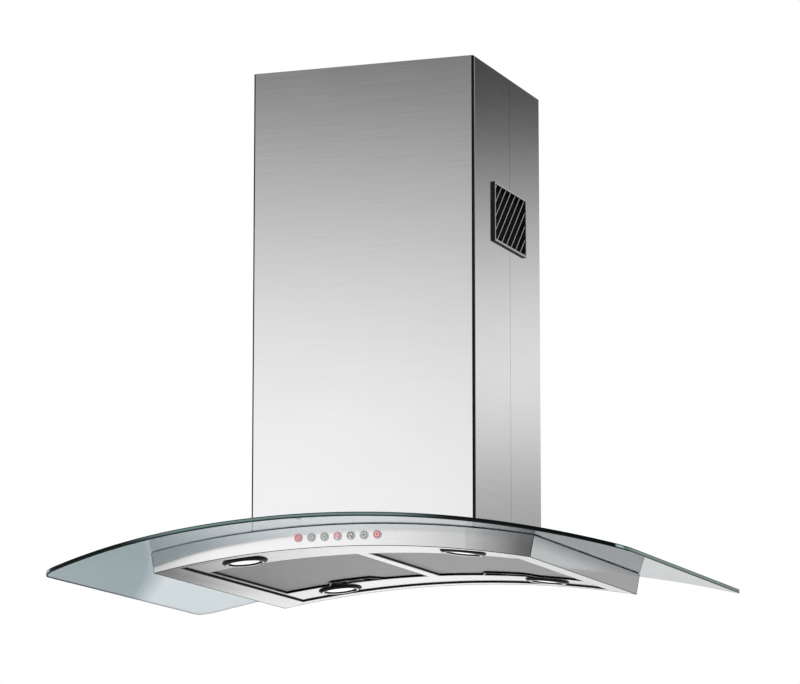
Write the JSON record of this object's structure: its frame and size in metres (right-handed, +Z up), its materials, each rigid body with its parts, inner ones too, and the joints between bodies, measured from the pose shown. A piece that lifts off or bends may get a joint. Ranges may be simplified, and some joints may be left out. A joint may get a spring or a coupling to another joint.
{
  "type": "curved glass range hood",
  "caption": "Island range hood: an arched glass canopy over a slim steel body with lamps, push buttons and drop-down grease filters, hung below a square chimney that hides the blower.",
  "frame": {"origin": "middle of the ceiling bracket's bolt pattern, on the ceiling plane", "axes": "+Z up into the ceiling, +X to the right of someone facing the buttons, +Y to the back; the buttons face -Y"},
  "size_m": [0.9, 0.7, 0.7674],
  "materials": {
    "brushed_steel": "brushed stainless steel",
    "glass": "tempered glass with a faint blue-green tint",
    "rubber": "black rubber",
    "chrome": "polished chrome",
    "lens": "frosted glass",
    "galvanised": "galvanised steel sheet",
    "filter_frame": "satin aluminium",
    "filter_mesh": "expanded aluminium mesh",
    "button": "satin plastic with a lit symbol",
    "board": "printed circuit board",
    "black_plastic": "black plastic",
    "grille": "satin grey plastic",
    "motor_paint": "painted motor can"
  },
  "bodies": {
    "hood": {"glass_canopy": "glass", "glass_gasket": "rubber", "front_band": "brushed_steel", "body_shell": "brushed_steel", "lamp_panel": "brushed_steel", "panel_seal": "rubber", "lamp_ring_1": "chrome", "lamp_lens_1": "lens", "lamp_ring_2": "chrome", "lamp_lens_2": "lens", "lamp_ring_3": "chrome", "lamp_lens_3": "lens", "lamp_ring_4": "chrome", "lamp_lens_4": "lens", "lamp_holders": "galvanised", "lamp_bulbs": "lens", "button_rings": "chrome", "control_board": "board", "control_tray": "black_plastic", "ceiling_bracket": "galvanised", "base_plate": "galvanised", "frame_uprights": "galvanised", "glass_bushes": "rubber", "glass_studs": "chrome", "inlet_sleeve": "galvanised", "blower_box": "galvanised", "blower_lid": "galvanised", "blower_scroll": "black_plastic", "motor": "motor_paint", "motor_bracket": "galvanised", "outlet_collar": "black_plastic", "flap_pin": "chrome", "collar_screws": "chrome", "terminal_box": "black_plastic", "cable_gland": "black_plastic", "chimney_front": "brushed_steel", "chimney_back": "brushed_steel", "chimney_foot_strip": "rubber", "panel_strip": "rubber", "front_panel": "brushed_steel", "vent_grille_left": "grille", "vent_grille_right": "grille"},
    "button_1": {"button_1": "button"},
    "button_2": {"button_2": "button"},
    "button_3": {"button_3": "button"},
    "button_4": {"button_4": "button"},
    "button_5": {"button_5": "button"},
    "button_6": {"button_6": "button"},
    "button_7": {"button_7": "button"},
    "rotor": {"impeller": "galvanised", "motor_shaft": "chrome"},
    "flap_front": {"flap_front": "black_plastic"},
    "flap_back": {"flap_back": "black_plastic"},
    "filter_left": {"filter_frame_left": "filter_frame", "filter_mesh_left": "filter_mesh"},
    "latch_left": {"filter_latch_left": "black_plastic"},
    "filter_right": {"filter_frame_right": "filter_frame", "filter_mesh_right": "filter_mesh"},
    "latch_right": {"filter_latch_right": "black_plastic"}
  },
  "joints": [
    {"name": "button_1_press", "type": "slide", "parent": "hood", "child": "button_1", "axis": [0, 1, 0], "range_m": [0, 0.0009], "stiffness_N_per_m": 1200},
    {"name": "button_2_press", "type": "slide", "parent": "hood", "child": "button_2", "axis": [0, 1, 0], "range_m": [0, 0.0009], "stiffness_N_per_m": 1200},
    {"name": "button_3_press", "type": "slide", "parent": "hood", "child": "button_3", "axis": [0, 1, 0], "range_m": [0, 0.0009], "stiffness_N_per_m": 1200},
    {"name": "button_4_press", "type": "slide", "parent": "hood", "child": "button_4", "axis": [0, 1, 0], "range_m": [0, 0.0009], "stiffness_N_per_m": 1200},
    {"name": "button_5_press", "type": "slide", "parent": "hood", "child": "button_5", "axis": [0, 1, 0], "range_m": [0, 0.0009], "stiffness_N_per_m": 1200},
    {"name": "button_6_press", "type": "slide", "parent": "hood", "child": "button_6", "axis": [0, 1, 0], "range_m": [0, 0.0009], "stiffness_N_per_m": 1200},
    {"name": "button_7_press", "type": "slide", "parent": "hood", "child": "button_7", "axis": [0, 1, 0], "range_m": [0, 0.0009], "stiffness_N_per_m": 1200},
    {"name": "impeller_spin", "type": "hinge", "parent": "hood", "child": "rotor", "pos_m": [0, 0.032, -0.571], "axis": [1, 0, 0], "continuous": true},
    {"name": "flap_front_swing", "type": "hinge", "parent": "hood", "child": "flap_front", "pos_m": [0, -0.027, -0.39], "axis": [-1, 0, 0], "range_deg": [0, 75]},
    {"name": "flap_back_swing", "type": "hinge", "parent": "hood", "child": "flap_back", "pos_m": [0, -0.027, -0.39], "axis": [1, 0, 0], "range_deg": [0, 75]},
    {"name": "filter_left_swing", "type": "hinge", "parent": "hood", "child": "filter_left", "pos_m": [-0.126, -0.153, -0.74551], "axis": [-0.9971, 0, -0.0766], "range_deg": [0, 20]},
    {"name": "filter_left_latch", "type": "slide", "parent": "filter_left", "child": "latch_left", "axis": [0, -1, 0], "range_m": [0, 0.004], "stiffness_N_per_m": 400},
    {"name": "filter_right_swing", "type": "hinge", "parent": "hood", "child": "filter_right", "pos_m": [0.126, -0.153, -0.74551], "axis": [-0.9971, 0, 0.0766], "range_deg": [0, 20]},
    {"name": "filter_right_latch", "type": "slide", "parent": "filter_right", "child": "latch_right", "axis": [0, -1, 0], "range_m": [0, 0.004], "stiffness_N_per_m": 400}
  ]
}
